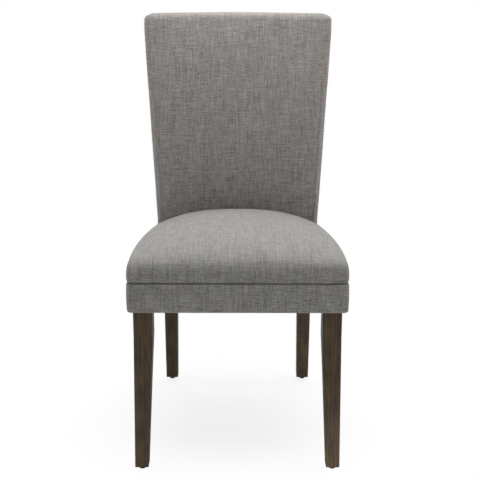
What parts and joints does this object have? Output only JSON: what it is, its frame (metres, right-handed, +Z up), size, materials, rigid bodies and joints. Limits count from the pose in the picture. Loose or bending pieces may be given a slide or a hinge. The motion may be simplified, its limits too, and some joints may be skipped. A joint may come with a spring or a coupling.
{
  "type": "parsons chair",
  "caption": "Armless upholstered dining chair with a tall raked back flaring to the top, a crowned seat over a fabric band, and tapered dark wooden legs.",
  "frame": {"origin": "on the floor, at the middle of the chair's bounding box in plan", "axes": "+Z up, -Y toward the front of the chair, +X toward the viewer's right when the chair is seen from the front"},
  "size_m": [0.4824, 0.5974, 1.003],
  "materials": {
    "stained_wood": "grey-brown stain under a satin lacquer",
    "frame_wood": "bare planed hardwood",
    "plywood": "bare plywood",
    "grey_fabric": "coarse linen-look weave, warm grey, matt",
    "foam": "open-cell upholstery foam",
    "wadding": "white fibre wadding",
    "webbing": "elastic webbing",
    "dust_cloth": "black spun-bonded cloth",
    "steel": "zinc-plated steel",
    "glide_nylon": "dark brown nylon"
  },
  "bodies": {
    "root": {"front_leg_left": "stained_wood", "front_leg_right": "stained_wood", "rear_post_left": "stained_wood", "rear_post_right": "stained_wood", "front_rail": "frame_wood", "side_rail_left": "frame_wood", "side_rail_right": "frame_wood", "back_rail": "frame_wood", "lower_back_rail": "frame_wood", "middle_back_rail": "frame_wood", "crest_rail": "frame_wood", "flare_strip_left": "frame_wood", "flare_strip_right": "frame_wood", "front_corner_block_left": "frame_wood", "front_corner_block_right": "frame_wood", "rear_corner_block_left": "frame_wood", "rear_corner_block_right": "frame_wood", "front_block_cross_screw_left": "steel", "front_block_cross_screw_right": "steel", "front_block_side_screw_left": "steel", "front_block_side_screw_right": "steel", "front_seat_screw_left": "steel", "front_seat_screw_right": "steel", "rear_block_cross_screw_left": "steel", "rear_block_cross_screw_right": "steel", "rear_block_side_screw_left": "steel", "rear_block_side_screw_right": "steel", "rear_seat_screw_left": "steel", "rear_seat_screw_right": "steel", "hanger_bolt_left": "steel", "hanger_bolt_right": "steel", "bolt_washer_left": "steel", "bolt_washer_right": "steel", "bolt_nut_left": "steel", "bolt_nut_right": "steel", "front_glide_left": "glide_nylon", "front_glide_right": "glide_nylon", "rear_glide_left": "glide_nylon", "rear_glide_right": "glide_nylon", "rail_cover": "grey_fabric", "seat_cover": "grey_fabric", "inside_back_cover": "grey_fabric", "outside_back_cover": "grey_fabric", "rail_padding": "wadding", "outside_back_padding": "wadding", "seat_foam": "foam", "back_foam": "foam", "seat_board": "plywood", "back_webbing_lower": "webbing", "back_webbing_middle": "webbing", "back_webbing_upper": "webbing", "back_webbing_top": "webbing", "dust_cloth": "dust_cloth"}
  },
  "joints": []
}
